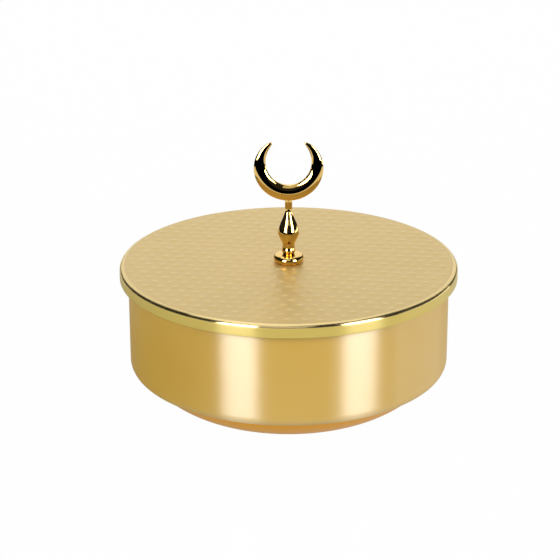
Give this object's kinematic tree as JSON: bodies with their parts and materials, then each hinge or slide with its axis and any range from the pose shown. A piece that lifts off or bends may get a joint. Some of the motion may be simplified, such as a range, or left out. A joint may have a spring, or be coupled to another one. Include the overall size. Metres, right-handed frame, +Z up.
{
  "type": "lidded candy box",
  "caption": "Round gold-finished metal candy box with a lift-off embossed lid and a turned finial that carries a crescent.",
  "frame": {"origin": "centre of the face that the box stands on", "axes": "+Z up along the axis of the bowl and the finial, -Y towards the viewer, square to the flat of the crescent"},
  "size_m": [0.1986, 0.1986, 0.163],
  "materials": {
    "satin_gold": "brushed satin gold plate, lacquered",
    "embossed_gold": "pale gold sheet, embossed with small lozenges in staggered rows",
    "polished_gold": "polished gold plate",
    "mirror_gold": "mirror gold plate",
    "screw_steel": "plain zinc-plated steel",
    "felt": "dark brown felt"
  },
  "bodies": {
    "box": {"felt_ring": "felt", "foot_ring": "satin_gold", "base_dish": "satin_gold", "side_wall": "satin_gold"},
    "lid": {"lid_disc": "satin_gold", "lid_top_sheet": "embossed_gold", "lid_band": "polished_gold", "lid_collar": "satin_gold", "finial_rosette": "mirror_gold", "finial_stem": "mirror_gold", "finial_crescent": "mirror_gold", "crescent_peg": "screw_steel", "finial_screw": "screw_steel", "finial_washer": "screw_steel"}
  },
  "joints": [
    {"name": "lid_lift", "type": "slide", "parent": "box", "child": "lid", "axis": [0, 0, 1], "range_m": [0, 0.12]}
  ]
}
